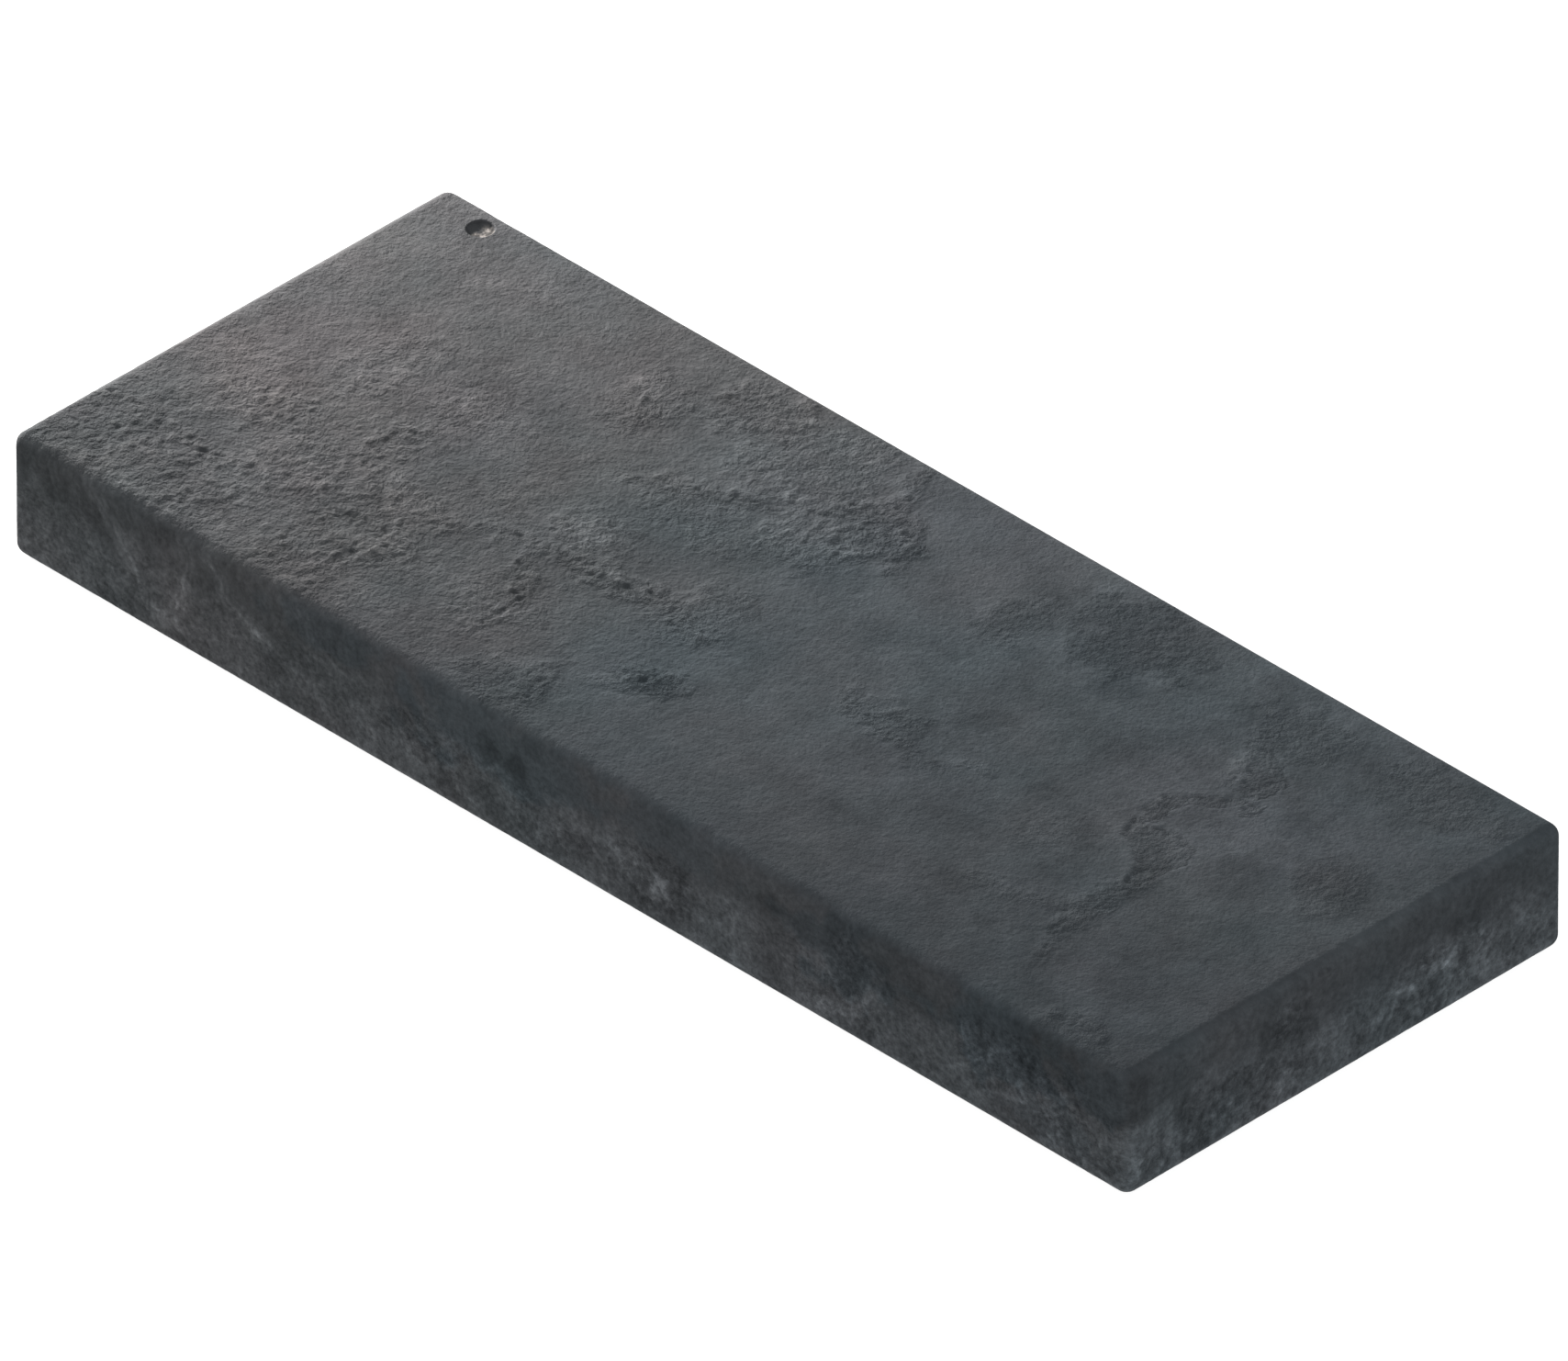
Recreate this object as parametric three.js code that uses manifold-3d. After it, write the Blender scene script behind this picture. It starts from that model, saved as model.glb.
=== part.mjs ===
// A bench sharpening whetstone: one slab of natural slate, in millimetres.
// X runs along the stone, Y across it and Z up. The origin is the centre of the face it rests on.
// The slab is a single quarried and sawn stone, so it is a single body: nothing is fitted to it.

import * as THREE from 'three';
import { RoundedBoxGeometry } from 'three/addons/geometries/RoundedBoxGeometry.js';
import { mergeVertices } from 'three/addons/utils/BufferGeometryUtils.js';
import Module from 'manifold-3d';

// Slab
const LENGTH = 204;
const WIDTH = 80;
const THICKNESS = 19.2;
const EDGE_RADIUS = 2;
const EDGE_SEGMENTS = 5;

// Marking dimple: a blind hole with a steep wall and a dished floor, in one corner of the top face
const DIMPLE_RADIUS = 2;
const DIMPLE_FROM_END = 10.5;
const DIMPLE_FROM_SIDE = 4.4;
const DIMPLE_WALL_DEPTH = 0.5;
const DIMPLE_DISH_DEPTH = 0.45;
const DIMPLE_FLOOR_RADIUS = 1.85;
const DIMPLE_SIDES = 48;
const DISH_STEPS = 6;

// The cutter stands this far above the top face, so that it opens the face cleanly
const CUTTER_CLEARANCE = 1;

const wasm = await Module();
wasm.setup();

// A closed three.js geometry as a manifold solid.
function toSolid(geometry) {
  const bare = geometry.clone();
  bare.deleteAttribute('normal');
  bare.deleteAttribute('uv');
  const merged = mergeVertices(bare);
  return new wasm.Manifold(new wasm.Mesh({
    numProp: 3,
    vertProperties: new Float32Array(merged.attributes.position.array),
    triVerts: new Uint32Array(merged.index.array),
  }));
}

// A manifold solid as a three.js geometry with flat shading.
function toGeometry(solid) {
  const mesh = solid.getMesh();
  const indexed = new THREE.BufferGeometry();
  indexed.setAttribute('position', new THREE.BufferAttribute(mesh.vertProperties, 3));
  indexed.setIndex(new THREE.BufferAttribute(mesh.triVerts, 1));
  const geometry = indexed.toNonIndexed();
  geometry.computeVertexNormals();
  return geometry;
}

// The sawn slab, resting on z = 0, with every edge rounded over.
function slabGeometry() {
  const slab = new RoundedBoxGeometry(LENGTH, WIDTH, THICKNESS, EDGE_SEGMENTS, EDGE_RADIUS);
  slab.translate(0, 0, THICKNESS / 2);
  return slab;
}

// The dimple's cutter: a profile turned about its own axis, from the bottom of the dish up.
function dimpleCutter() {
  const profile = [];
  for (let step = 0; step <= DISH_STEPS; step++) {
    const angle = (step / DISH_STEPS) * Math.PI / 2;
    const radius = DIMPLE_FLOOR_RADIUS * Math.sin(angle);
    const depth = DIMPLE_WALL_DEPTH + DIMPLE_DISH_DEPTH * Math.cos(angle);
    profile.push(new THREE.Vector2(step === 0 ? 0 : radius, -depth));
  }
  profile.push(new THREE.Vector2(DIMPLE_RADIUS, 0));
  profile.push(new THREE.Vector2(DIMPLE_RADIUS, CUTTER_CLEARANCE));
  profile.push(new THREE.Vector2(0, CUTTER_CLEARANCE));
  const cutter = new THREE.LatheGeometry(profile, DIMPLE_SIDES);
  // A lathe turns about Y: stand it up along Z.
  cutter.rotateX(Math.PI / 2);
  cutter.translate(-LENGTH / 2 + DIMPLE_FROM_END, WIDTH / 2 - DIMPLE_FROM_SIDE, THICKNESS);
  return cutter;
}

// Dark slate: rough, not metallic.
const slate = new THREE.MeshStandardMaterial({ color: 0x4c5254, roughness: 0.62, metalness: 0 });

function stoneSlab() {
  const solid = toSolid(slabGeometry()).subtract(toSolid(dimpleCutter()));
  const mesh = new THREE.Mesh(toGeometry(solid), slate);
  mesh.name = 'stone_slab';
  return mesh;
}

const whetstone = new THREE.Group();
whetstone.add(stoneSlab());

export default whetstone;
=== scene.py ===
# A natural slate bench whetstone: one riven slab with a marking dimple, on a plain white sweep.
# Sizes are in millimetres, and MM turns them into the frame's metres.
# A place on the top face is (along, across): along from the dimple end, across from the dimple side.
# A place on the long side in view is (along, down), and on the end in view (across, down), where down
# is from the top face.

import math

import bpy
import numpy as np
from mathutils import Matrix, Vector
from mathutils.geometry import delaunay_2d_cdt


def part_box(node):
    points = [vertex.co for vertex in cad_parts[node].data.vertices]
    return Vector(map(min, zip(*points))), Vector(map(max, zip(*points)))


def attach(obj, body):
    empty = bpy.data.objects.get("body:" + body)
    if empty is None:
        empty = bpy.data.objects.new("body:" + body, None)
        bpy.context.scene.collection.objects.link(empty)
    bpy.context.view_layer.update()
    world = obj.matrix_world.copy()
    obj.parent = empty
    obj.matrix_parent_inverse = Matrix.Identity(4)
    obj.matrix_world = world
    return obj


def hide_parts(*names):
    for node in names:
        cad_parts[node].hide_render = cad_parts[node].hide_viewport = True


MM = 0.001

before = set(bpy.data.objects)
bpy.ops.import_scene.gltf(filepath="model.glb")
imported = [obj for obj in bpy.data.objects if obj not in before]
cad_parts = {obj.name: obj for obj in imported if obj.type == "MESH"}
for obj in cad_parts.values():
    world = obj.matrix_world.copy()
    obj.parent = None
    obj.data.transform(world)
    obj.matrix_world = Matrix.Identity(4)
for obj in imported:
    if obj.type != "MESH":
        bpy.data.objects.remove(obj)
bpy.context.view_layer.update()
low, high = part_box("stone_slab")
LENGTH, WIDTH, THICK = ((high - low) / MM)[:]

# ---------------------------------------------------------------- the slab and its grid
EDGE_RADIUS = 2.0
ARC_STEPS = 5
TOP_PITCH = 0.32
SIDE_PITCH = 0.3
UNDER_PITCH = 1.2
# Far less than a grid step: keeps a search for a grid line on that line
HAIR = 1e-6

DIMPLE_ALONG = 10.5
DIMPLE_ACROSS = 4.4
DIMPLE_RADIUS = 2.0
# Half the side of the square hole in the grid, and the grid steps along that side
DIMPLE_PATCH = 2.4
DIMPLE_SIDE_STEPS = 16
# Rings outside the rim: share of the way from the square hole to the rim
DIMPLE_COLLAR = [0.3, 0.6, 0.85]
# Rings inside the rim: share of the rim's radius, and depth
DIMPLE_PROFILE = [
    (1.0, 0.0), (0.985, 0.06), (0.965, 0.17), (0.95, 0.29), (0.93, 0.39), (0.88, 0.46),
    (0.80, 0.51), (0.70, 0.55), (0.60, 0.58), (0.50, 0.61), (0.40, 0.63), (0.30, 0.65),
    (0.20, 0.66), (0.10, 0.67),
]
DIMPLE_FLOOR_ROUGHNESS = 0.10
# The pale crushed stone comes in between these depths, and between these places from the middle of the
# dimple towards the far end, in rim radii. It lies only where the lamp lights the dimple: partly
# painted light
CRUSHED_AND_LIT_DEPTHS = (0.30, 0.52)
CRUSHED_AND_LIT_PLACES = (-0.45, 0.2)

# ---------------------------------------------------------------- relief: heights, sizes and reaches
# Rough patches are built from crumbs: wavelength and share of each size
LUMP_SIZES = [(5.0, 0.6), (2.6, 0.45), (1.6, 0.6), (1.0, 0.75)]
LUMP_HEIGHT = 0.235
# How deep the hollows between crumbs are, as a share of the crumbs' height
HOLLOW_SHARE = 0.35
# How far ledges lean, as a share of their size
LEDGE_LEAN = 0.3
SWELL_SIZE = 18.0
SWELL_HEIGHT = 0.05
GRAIN_SIZE = 1.1
GRAIN_HEIGHT = 0.042
ROUGH_GRAIN = 0.10
CRACK_BANK = 1.3
SCAR_LIP = 0.04
VEIN_GAP = 1.0
VEIN_HAZE = 1.8
STREAK_SIZE = 2.2
STREAK_HEIGHT = 0.03
# Length of the pieces that cracks and veins are broken into
BREAK_LENGTH = 1.6
# How far patch edges fray, as a share of the patch's size
FRAY = 0.45

EDGE_WEAR = 0.02
EDGE_NICK = 0.035
EDGE_REACH = 1.6
FRONT_NICK = 0.28
# Share of the relief left at an edge, and the distances from it over which the rest comes back
EDGE_KEEPS = 0.2
EDGE_SMOOTHED = (0.3, 2.6)
# How much more is left on the broken stretch of the top's front edge, and how far in that goes
FRONT_EDGE_KEEPS = 0.45
FRONT_EDGE_REACH = 3

# ---------------------------------------------------------------- roughness shares, from 0 to 1
TOP_LEVEL = 0.06
BANK_ROUGH = 0.45
SCAR_ROUGH = 0.4
SIDE_LEVEL = 0.08
SIDE_LOW_ROUGH = 0.42
# Patches may add up to a little more than 1
ROUGH_LIMIT = 1.1
# How much of the roughness and of the cracks the quiet stretch of the top takes away
QUIET_ROUGH = 0.35
QUIET_CRACK = 0.4
# Cosines to a face's direction between which a rounded edge goes over to that face
FACE_COSINES = (0.3, 0.9)

# ---------------------------------------------------------------- shade: factors on the stone's colour
# Painted light: the crumbs' crests are painted paler as if lit, their hollows darker as painted shade
LUMP_PAINTED_LIGHT = 0.42
SIDE_LUMP_PAINTED_LIGHT = 0.7
# The level edges are paler: partly worn, partly painted light on their rounding
EDGE_PALE_AND_LIT = 0.32
EDGE_PALE_AND_LIT_REACH = 1.3
# Painted light: the top's colour falls from this factor at its back side towards its front side, away
# from the lamp
TOP_PAINTED_FALLOFF = 1.07
TOP_MOTTLE = 0.12
TOP_STAIN = 0.5
PALE_SPOT = 0.5
SCAR_DARK = 0.17
BANK_DARK = 0.06
SIDE_SHADE = 0.673
SIDE_LOW_SHADE = 0.252
SIDE_MOTTLE = 0.06
SIDE_LOW_MOTTLE = 0.17
SIDE_STAIN = 0.6
STREAK_PALE = 0.12
WISP_PALE = 0.4
VEIN_PALE = 1.7
FRONT_TONE = 1.035
RIGHT_TONE = 1.09
# Painted shade: the end nearest the lamp is darkened, as the lamp lights it strongly
LEFT_TONE_PAINTED_SHADE = 0.8
WARM_TINT = np.array((1.025, 1.0, 0.985))
COOL_TINT = np.array((0.93, 1.012, 1.045))
HUE_SWING = np.array((0.02, 0.004, -0.012))

# Stretches along the slab, from the dimple end: where a change begins and ends
TOP_WORN = (25, 115)
TOP_QUIET = (100, 140)
TOP_COOLS = (55, 105)
FRONT_EDGE_BROKEN = (25, 70)
FRONT_FIBRE = (45, 90)
FRONT_COOLS = (50, 150)
# Across the slab: where the worn ground of the top grows rougher
TOP_WORN_ACROSS = (15, 60)
# Down from the top face: where a side's smooth dark band gives way to coarser stone, and its colour to
# a paler one
SIDE_BAND = (4.5, 12)
# The underside has the stone that a side has this far down
UNDER_DOWN = 8.0


# ---------------------------------------------------------------- noise
class Noise:
    """Seeded gradient noise over points in mm, about -1 to 1.

    Points with a number added to them read another part of the same noise.
    """

    TABLE = 256
    GAIN = 1.6

    def __init__(self, seed):
        draw = np.random.RandomState(seed)
        self.order = draw.permutation(self.TABLE)
        slopes = draw.normal(size=(self.TABLE, 3))
        self.slopes = slopes / np.linalg.norm(slopes, axis=1)[:, None]
        self.shift = draw.uniform(0, self.TABLE, 3)

    def __call__(self, points, wavelength):
        where = points / wavelength + self.shift
        cell = np.floor(where).astype(int)
        inside = where - cell
        ease = inside * inside * inside * (inside * (inside * 6 - 15) + 10)
        last = self.TABLE - 1
        total = np.zeros(len(points))
        for dx in (0, 1):
            for dy in (0, 1):
                for dz in (0, 1):
                    row = self.order[(cell[:, 0] + dx) & last]
                    row = self.order[(row + cell[:, 1] + dy) & last]
                    row = self.order[(row + cell[:, 2] + dz) & last]
                    corner = np.array((dx, dy, dz))
                    rise = ((inside - corner) * self.slopes[row]).sum(1)
                    share = np.abs(1 - corner - ease).prod(1)
                    total += rise * share
        return total * self.GAIN


noise_a, noise_b, noise_c = Noise(11), Noise(23), Noise(37)
noise_d, noise_e, noise_f = Noise(41), Noise(59), Noise(67)


def clouds(noise, points, wavelength, octaves, gain=0.5):
    """Noise at several wavelengths, each half the last and gain times as strong."""
    total = np.zeros(len(points))
    for octave in range(octaves):
        total += noise(points + octave * 17.3, wavelength / 2**octave) * gain**octave
    return total


def smooth(low_end, high_end, value):
    """0 below low_end, 1 above high_end, and an eased rise between them."""
    t = np.clip((value - low_end) / (high_end - low_end), 0, 1)
    return t * t * (3 - 2 * t)


def bell(distance, width):
    """1 where distance is 0, falling away smoothly over width."""
    return np.exp(-((distance / width) ** 2))


# ---------------------------------------------------------------- listed features
# Rough patches of the top face: along, across, half length, half width, strength
TOP_ROUGH = [
    (8, 71, 12, 9, 0.7),
    (24, 72, 9, 8, 0.7),
    (20, 52, 10, 5, 0.75),
    (33, 60, 9, 9, 0.55),
    (37, 46, 4, 8, 0.65),
    (46, 57, 8, 7, 0.9),
    (46, 71, 8, 7, 0.75),
    (53, 64, 5, 6, 0.8),
    (24, 34, 6, 10, 0.3),
    (38, 34, 8, 6, 0.35),
    (54, 17, 6, 7, 0.5),
    (66, 8, 9, 7, 0.7),
    (80, 12, 12, 11, 0.6),
    (94, 17, 8, 8, 0.95),
    (90, 26, 8, 6, 0.6),
    (70, 42, 6, 5, 0.6),
    (76, 30, 12, 6, 0.4),
    (82, 48, 14, 3, 0.6),
    (72, 62, 7, 8, 0.45),
    (84, 74, 7, 6, 0.5),
    (99, 61, 6, 4, 0.7),
    (93, 46, 7, 8, 0.4),
    (126, 45, 6, 4, 0.4),
    (137, 10, 11, 10, 0.5),
    (122, 18, 6, 7, 0.35),
    (166, 10, 9, 6, 0.5),
    (188, 8, 12, 6, 0.5),
    (158, 48, 6, 5, 0.25),
    (192, 32, 7, 6, 0.45),
    (192, 77, 7, 3, 0.5),
    (174, 56, 3, 8, 0.5),
]

# Cracks and broken edges of the top face: points, width, depth, height of the lip beside it
TOP_CRACKS = [
    ([(0, 65), (4, 64), (8, 64), (12, 65), (17, 65), (22, 65), (27, 64)], 0.5, 0.16, 0.10),
    ([(8, 73), (9, 69), (11, 67), (15, 66), (18, 65)], 0.5, 0.14, 0.08),
    ([(35, 43), (37, 46), (36, 49), (38, 52), (41, 53), (45, 56), (48, 58), (50, 61), (53, 65)],
     0.6, 0.16, 0.12),
    ([(36, 62), (40, 63), (44, 62), (49, 62), (52, 64)], 0.5, 0.14, 0.08),
    ([(50, 58), (54, 56), (57, 53), (60, 51), (64, 50), (66, 50)], 0.45, 0.12, 0.08),
    ([(66, 50), (68, 53), (70, 55), (72, 58), (74, 62), (74, 67)], 0.55, 0.16, 0.10),
    ([(66, 50), (70, 49), (75, 50), (79, 49), (84, 47), (88, 47), (92, 49), (97, 49)], 0.5, 0.13, 0.08),
    ([(64, 30), (68, 28), (73, 26), (76, 25), (79, 23), (83, 22), (88, 21)], 0.5, 0.14, 0.08),
    ([(87, 20), (90, 17), (93, 13), (96, 11), (99, 14), (102, 17), (103, 21)], 0.6, 0.15, 0.08),
    ([(90, 0), (91, 4), (93, 8), (94, 12)], 0.5, 0.15, 0.06),
    ([(87, 67), (89, 72), (90, 76), (91, 80)], 0.6, 0.16, 0.06),
    ([(94, 65), (96, 62), (99, 60), (103, 59)], 0.5, 0.14, 0.06),
    ([(51, 66), (51, 70), (52, 75), (53, 80)], 0.6, 0.16, 0.08),
    ([(53, 16), (55, 19), (56, 22)], 0.5, 0.1, 0.1),
    ([(118, 44), (121, 47), (123, 47), (125, 45), (126, 43), (129, 42)], 0.4, 0.1, 0.06),
    ([(123, 48), (127, 48), (131, 47), (133, 49), (135, 50), (138, 48), (143, 44)], 0.4, 0.09, 0.06),
    ([(173, 49), (173, 54), (172, 58), (174, 61), (176, 65), (177, 69)], 0.45, 0.12, 0.08),
    ([(175, 47), (174, 53), (175, 57), (176, 61)], 0.4, 0.08, 0.07),
    ([(158, 62), (161, 62), (165, 61), (172, 58)], 0.5, 0.06, 0.06),
    ([(163, 12), (164, 16), (165, 20), (167, 24)], 0.4, 0.05, 0.07),
    ([(187, 80), (187, 77), (189, 75), (192, 74), (195, 75)], 0.6, 0.04, 0.12),
]

# Shallow flakes lost from the top face: outline, depth
TOP_SCARS = [
    ([(164, 38), (167, 38), (169, 37), (172, 37), (175, 38), (176, 41), (175, 45), (175, 49),
      (173, 49), (171, 45), (168, 43), (165, 42)], 0.13),
    ([(163, 32), (166, 29), (169, 27), (170, 25), (172, 25), (170, 29), (167, 31), (166, 34),
      (167, 37), (165, 38), (163, 36)], 0.11),
    ([(165, 15), (168, 16), (171, 18), (173, 19), (173, 22), (172, 25), (169, 25), (168, 22),
      (166, 19)], 0.10),
    ([(172, 26), (174, 24), (175, 27), (173, 29)], 0.09),
]

# Darker stains of the top face, and a band of painted shade: along, across, half length, half width,
# strength
TOP_STAINS_AND_SHADE = [
    (94, 16, 9, 6, 0.4),
    (97, 27, 9, 6, 0.22),
    (112, 33, 3, 3, 0.3),
    (99, 61, 6, 4, 0.55),
    (85, 75, 8, 5, 0.4),
    (80, 36, 14, 8, 0.15),
    (58, 17, 8, 8, 0.08),
    (121, 18, 4, 6, 0.35),
    (137, 10, 10, 10, 0.4),
    (142, 18, 4, 6, 0.3),
    (147, 68, 5, 4, 0.2),
    (195, 29, 4, 5, 0.13),
    (187, 35, 5, 3, 0.13),
    (188, 61, 9, 6, 0.15),
    (160, 74, 18, 5, 0.15),
    (5, 50, 6, 6, 0.15),
    (14, 60, 16, 4, 0.15),
    (128, 22, 2, 3, 0.3),
    (9, 68, 16, 12, 0.25),
    # Painted shade: this long band darkens the top along its front edge, away from the lamp
    (130, 82, 100, 13, 0.25),
    (150, 35, 14, 20, 0.07),
    (146, 62, 20, 16, 0.08),
]

# Pale worn spots of the top face: along, across, half length, half width, strength
TOP_PALE = [
    (64, 15, 2, 3, 0.4),
    (70, 42, 4, 3, 0.35),
    (82, 7, 8, 6, 0.25),
    (60, 33, 3, 3, 0.2),
    (144, 15, 1, 2, 0.5),
    (158, 27, 2, 2, 0.35),
    (101, 53, 3, 6, 0.2),
    (192, 77, 6, 3, 0.3),
    (194, 35, 3, 2, 0.25),
    (70, 16, 12, 12, 0.13),
    (90, 20, 12, 12, 0.28),
    (170, 36, 10, 18, 0.26),
    (38, 64, 20, 14, 0.10),
]

# Veins of the long side in view: points (along, down), width, height, paleness
SIDE_VEINS = [
    ([(14, 0), (16.6, 2.6), (18.7, 4.6), (20.5, 7), (22.2, 9.6), (24, 11.5), (25, 13.8),
      (28, 14.5), (30, 14.8)], 0.35, 0.06, 0.5),
    ([(32.5, 0), (32, 2.6), (32.7, 5), (32.1, 7.5), (32.1, 10), (30.5, 13.4), (31, 15)],
     0.35, 0.06, 0.5),
    ([(36.3, 0), (37, 2.8), (38.9, 4.6), (39.8, 6.1), (42.2, 7.3), (43.7, 8.2), (45.7, 8.9),
      (48, 9.4)], 0.35, 0.06, 0.45),
    ([(52.5, 0), (53, 1.5), (54.2, 3), (55, 5), (55.5, 8)], 0.3, 0.04, 0.3),
    ([(76, 15), (80, 13), (82, 12), (83, 15), (86, 16)], 0.45, 0.05, 0.4),
    ([(110, 10), (114, 12), (116, 10), (119, 12)], 0.45, 0.04, 0.35),
    ([(147, 17), (151, 15), (154, 14), (157, 11), (160, 9)], 0.4, 0.06, 0.4),
    ([(172, 14), (177, 11), (180, 8), (184, 5)], 0.35, 0.06, 0.3),
    ([(175, 17), (179, 14), (184, 13), (189, 12), (193, 9)], 0.35, 0.05, 0.3),
    ([(203.4, 11), (203.7, 13), (203.4, 15), (203.7, 17.5)], 0.4, 0.03, 0.3),
]

# Darker stains of the long side in view: along, down, half length, half height, strength
SIDE_STAINS = [
    (100, 10, 125, 16, 0.09),
    (180, 3, 44, 7, 0.5),
    (185, 12, 34, 10, 0.3),
    (204, 3, 5, 9, 0.6),
    (4, 3, 6, 3, 0.3),
    (12, 5, 7, 4, 0.3),
    (30, 2, 2, 2, 0.4),
    (42, 3, 6, 3, 0.3),
    (55, 8, 3, 3, 0.25),
    (76, 9, 6, 3, 0.4),
    (83, 14, 10, 4, 0.45),
    (88, 7, 2, 3, 0.6),
    (93, 7, 2, 3, 0.5),
    (96, 1, 3, 3, 0.4),
    (107, 13, 8, 3, 0.35),
    (121, 9, 4, 2, 0.4),
    (123, 12, 3, 3, 0.5),
    (119, 2, 6, 3, 0.25),
    (152, 6, 6, 6, 0.55),
    (152, 12, 4, 3, 0.3),
    (178, 9, 8, 5, 0.45),
    (182, 4, 10, 4, 0.45),
    (198, 3, 6, 4, 0.45),
    (192, 13, 10, 5, 0.3),
]

# Veins of the end in view: points (across, down), width, height, paleness
END_VEINS = [
    ([(45, 8), (48, 5), (52, 3), (54, 5)], 0.4, 0.05, 0.2),
    ([(14, 10), (19, 8), (22, 11), (26, 11)], 0.4, 0.05, 0.4),
    ([(28, 12), (31, 11), (34, 14)], 0.45, 0.04, 0.4),
    ([(79.5, 12), (79.7, 14), (79.3, 16), (79.6, 17.5)], 0.4, 0.03, 0.25),
]

# Darker stains of the end in view: across, down, half length, half height, strength
END_STAINS = [
    (40, 3, 44, 6, 0.14),
    (80, 3, 5, 9, 0.6),
    (10, 2, 8, 3, 0.2),
    (19, 9, 3, 5, 0.5),
    (31, 14, 3, 3, 0.3),
    (48, 8, 3, 4, 0.45),
    (54, 7, 3, 4, 0.5),
    (57, 13, 6, 4, 0.35),
    (66, 11, 7, 4, 0.45),
    (67, 15, 6, 3, 0.35),
    (47, 1, 4, 2, 0.35),
    (38, 12, 3, 4, 0.2),
]

# Broken ground of the two sides in view, told like their stains
SIDE_ROUGH = [
    (78, 12, 12, 5, 0.55),
    (100, 14, 10, 4, 0.45),
    (118, 12, 9, 5, 0.75),
    (152, 14, 8, 4, 0.6),
    (155, 7, 6, 5, 0.5),
    (184, 9, 12, 6, 0.8),
    (196, 14, 10, 5, 0.8),
]
END_ROUGH = [
    (60, 14, 13, 5, 0.8),
    (51, 7, 3, 4, 0.7),
    (24, 12, 10, 5, 0.65),
    (75, 15, 6, 4, 0.6),
]

# Cooler ground of the two sides in view, told like their stains
SIDE_COOL = [
    (58, 3, 12, 4, 0.7),
    (90, 5, 20, 7, 1.0),
    (120, 3, 16, 5, 0.9),
    (152, 6, 12, 8, 1.2),
    (182, 5, 14, 9, 1.4),
    (200, 4, 6, 6, 1.3),
    (190, 14, 14, 5, 0.9),
]
END_COOL = [
    (20, 3, 24, 6, 0.7),
    (60, 4, 24, 8, 0.8),
    (68, 14, 10, 5, 1.0),
    (45, 12, 12, 6, 0.6),
]

# What lies on each side. The two hidden sides have the same stone, with neither veins nor cool ground.
FRONT_MARKS = {"veins": SIDE_VEINS, "stains": SIDE_STAINS, "rough": SIDE_ROUGH, "cool": SIDE_COOL}
RIGHT_MARKS = {"veins": END_VEINS, "stains": END_STAINS, "rough": END_ROUGH, "cool": END_COOL}
BACK_MARKS = {**FRONT_MARKS, "veins": [], "cool": []}
LEFT_MARKS = {**RIGHT_MARKS, "veins": [], "cool": []}
UNDER_MARKS = {"veins": [], "stains": [], "rough": [], "cool": []}


# ---------------------------------------------------------------- features as fields over points
def fraying(points, wavelength):
    """How far a patch's edge is pushed in or out, as a share of the patch's size."""
    return clouds(noise_a, points, wavelength, 3) * FRAY


def line_strength(points, swing, level):
    """How strong a crack or vein is at each point, 0 where it breaks off."""
    return np.clip(clouds(noise_b, points, BREAK_LENGTH, 2) * swing + level, 0, 1.4)


def stained(stain, mottle, darkness):
    """A stain's factor on the stone's colour, blotchy as the mottle is."""
    return 1 - darkness * np.clip(stain * (0.8 + 0.6 * mottle), 0, 0.9)


def path_distance(a, b, path):
    """Distance from each (a, b) to an open path."""
    nearest = np.full(len(a), np.inf)
    for (a0, b0), (a1, b1) in zip(path, path[1:]):
        step_a, step_b = a1 - a0, b1 - b0
        t = ((a - a0) * step_a + (b - b0) * step_b) / (step_a**2 + step_b**2)
        t = np.clip(t, 0, 1)
        nearest = np.minimum(nearest, np.hypot(a - a0 - t * step_a, b - b0 - t * step_b))
    return nearest


def inside_distance(a, b, outline):
    """Distance in from a closed outline, below 0 outside it."""
    closed = outline + outline[:1]
    within = np.zeros(len(a), bool)
    for (a0, b0), (a1, b1) in zip(closed, closed[1:]):
        spans = (b0 > b) != (b1 > b)
        if b0 != b1:
            within ^= spans & (a < a0 + (b - b0) * (a1 - a0) / (b1 - b0))
    return np.where(within, 1, -1) * path_distance(a, b, closed)


def patches(a, b, ragged, spots):
    """The strongest of several oval spots at each (a, b), with edges frayed by ragged."""
    field = np.zeros(len(a))
    for at_a, at_b, half_a, half_b, strength in spots:
        out = np.hypot((a - at_a) / half_a, (b - at_b) / half_b) + ragged
        field = np.maximum(field, strength * (1 - smooth(0.55, 1.15, out)))
    return field


def crack_fields(a, b, uneven, cracks):
    """Height and closeness of a set of cracks: a broken groove with a raised lip and crumbled banks."""
    height = np.zeros(len(a))
    banks = np.zeros(len(a))
    for path, width, depth, lip in cracks:
        distance = path_distance(a, b, path)
        away = distance / width
        groove = bell(away, 1) * uneven
        shoulder = bell(away - 1.8, 0.9) * uneven
        height += lip * shoulder - depth * groove
        banks = np.maximum(banks, bell(distance, CRACK_BANK))
    return height, banks


def scar_fields(a, b, scars):
    """Share and height of a set of lost flakes: a shallow step down, with a low lip around it."""
    share = np.zeros(len(a))
    height = np.zeros(len(a))
    for outline, depth in scars:
        inward = inside_distance(a, b, outline)
        share = np.maximum(share, smooth(-0.15, 0.3, inward))
        height -= depth * smooth(-0.2, 0.25, inward)
        height += SCAR_LIP * bell(inward + 0.5, 0.35)
    return share, height


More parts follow.
